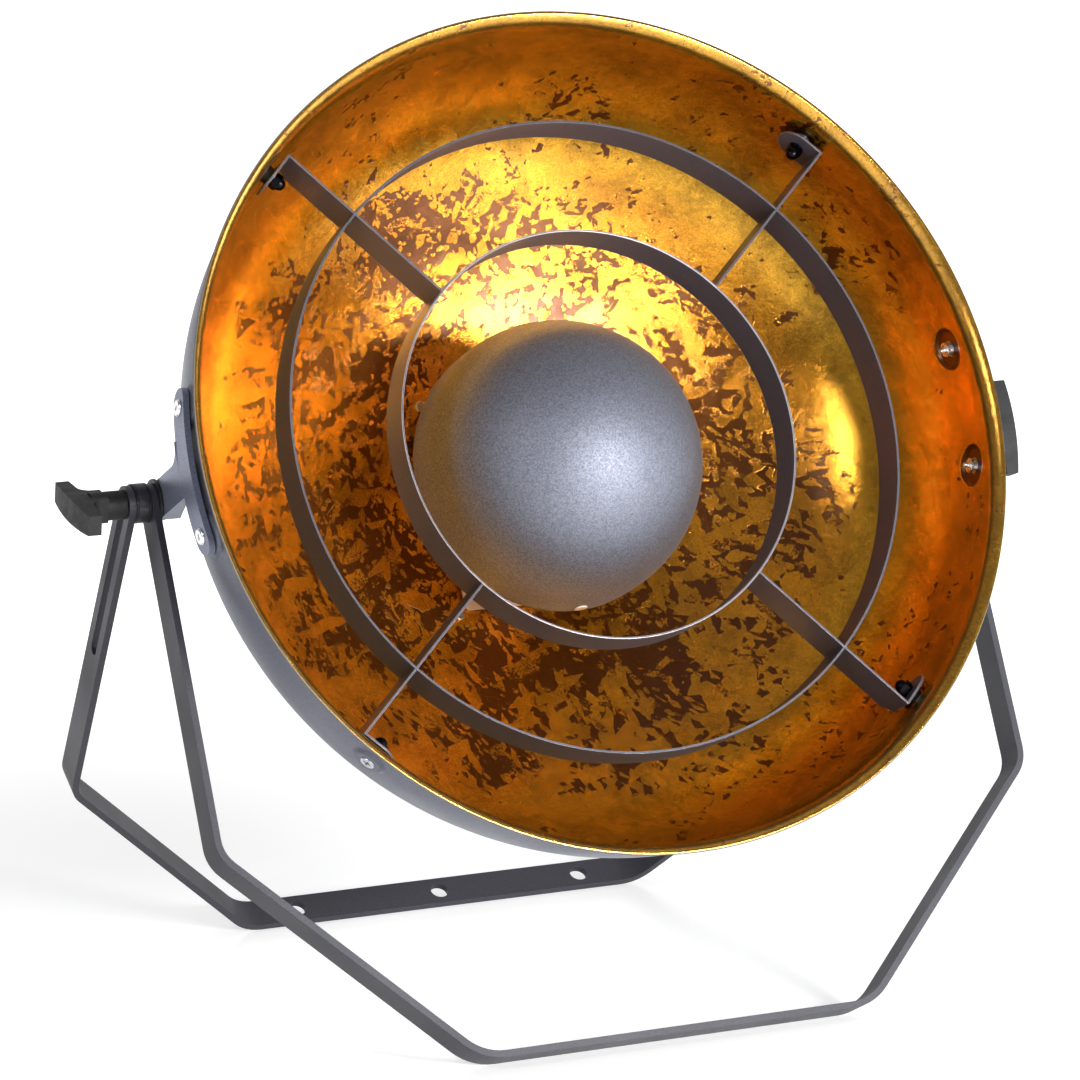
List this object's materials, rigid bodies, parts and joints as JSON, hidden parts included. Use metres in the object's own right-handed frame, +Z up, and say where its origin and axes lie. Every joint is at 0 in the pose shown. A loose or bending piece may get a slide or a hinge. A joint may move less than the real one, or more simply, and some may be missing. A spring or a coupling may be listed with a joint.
{
  "type": "tabletop searchlight lamp",
  "caption": "Spun reflector searchlight with a strap grille and glare baffle, tilting between two hinged flat-bar yokes clamped by T-knobs.",
  "frame": {"origin": "on the ground, under the middle of the lamp's bounding box, with the head and the yokes as pictured", "axes": "+X along the tilt axis from the left knob to the right one, +Y to the back of the lamp, +Z up"},
  "size_m": [0.4824, 0.301, 0.4565],
  "materials": {
    "reflector": "gold leaf lacquer inside, satin anthracite outside",
    "dark_strip": "satin anthracite",
    "zinc": "bright zinc",
    "black_zinc": "black zinc",
    "baffle": "satin metallic grey",
    "cream_sheet": "satin",
    "ceramic": "glazed",
    "brass": "plain",
    "bulb_cap": "plain",
    "bulb_glass": "clear",
    "anthracite": "satin anthracite",
    "rivet": "bright",
    "terminal": "plain",
    "black_plastic": "matte",
    "bracket_paint": "satin",
    "washer": "matte",
    "yoke_paint": "satin anthracite",
    "spacer": "satin",
    "knob": "fine grained"
  },
  "bodies": {
    "front_yoke": {"front_yoke": "yoke_paint"},
    "hinge_spacers": {"hub_spacers": "spacer", "spacer_washers": "washer"},
    "rear_yoke": {"rear_yoke": "yoke_paint"},
    "head": {"reflector_bowl": "reflector", "grille_outer_ring": "dark_strip", "grille_inner_ring": "dark_strip", "grille_spokes": "dark_strip", "grille_bolts": "zinc", "grille_washers": "washer", "grille_lock_washers": "black_zinc", "grille_cap_nuts": "black_zinc", "baffle_dome": "baffle", "baffle_bracket": "cream_sheet", "baffle_rivets": "cream_sheet", "lampholder_body": "ceramic", "lampholder_shell": "brass", "lampholder_contact": "brass", "lampholder_nipple": "zinc", "lampholder_nut": "zinc", "lampholder_spacer": "zinc", "bulb_cap": "bulb_cap", "bulb_glass": "bulb_glass", "rear_housing": "anthracite", "rear_housing_rivets": "rivet", "terminal_block": "terminal", "cable_gland": "black_plastic", "gland_nut": "black_plastic", "side_bracket_left": "bracket_paint", "side_bracket_right": "bracket_paint", "bracket_rivets": "rivet", "weld_nuts": "zinc", "pivot_washers": "washer"},
    "knob_left": {"knob_left": "knob", "stud_left": "zinc"},
    "knob_right": {"knob_right": "knob", "stud_right": "zinc"}
  },
  "joints": [
    {"name": "yoke_fold", "type": "hinge", "parent": "front_yoke", "child": "hinge_spacers", "pos_m": [0, -0.0068, 0.2466], "axis": [1, 0, 0], "range_deg": [-58.4, 30]},
    {"name": "rear_yoke_slide", "type": "slide", "parent": "hinge_spacers", "child": "rear_yoke", "axis": [0, -0.5267, 0.85], "range_m": [0, 0.088]},
    {"name": "head_tilt", "type": "hinge", "parent": "front_yoke", "child": "head", "pos_m": [0, -0.0068, 0.2466], "axis": [1, 0, 0], "range_deg": [-65, 85]},
    {"name": "left_knob_turn", "type": "hinge", "parent": "head", "child": "knob_left", "pos_m": [-0.225, -0.0068, 0.2466], "axis": [-1, 0, 0], "range_deg": [0, 270]},
    {"name": "right_knob_turn", "type": "hinge", "parent": "head", "child": "knob_right", "pos_m": [0.225, -0.0068, 0.2466], "axis": [1, 0, 0], "range_deg": [0, 270]}
  ]
}
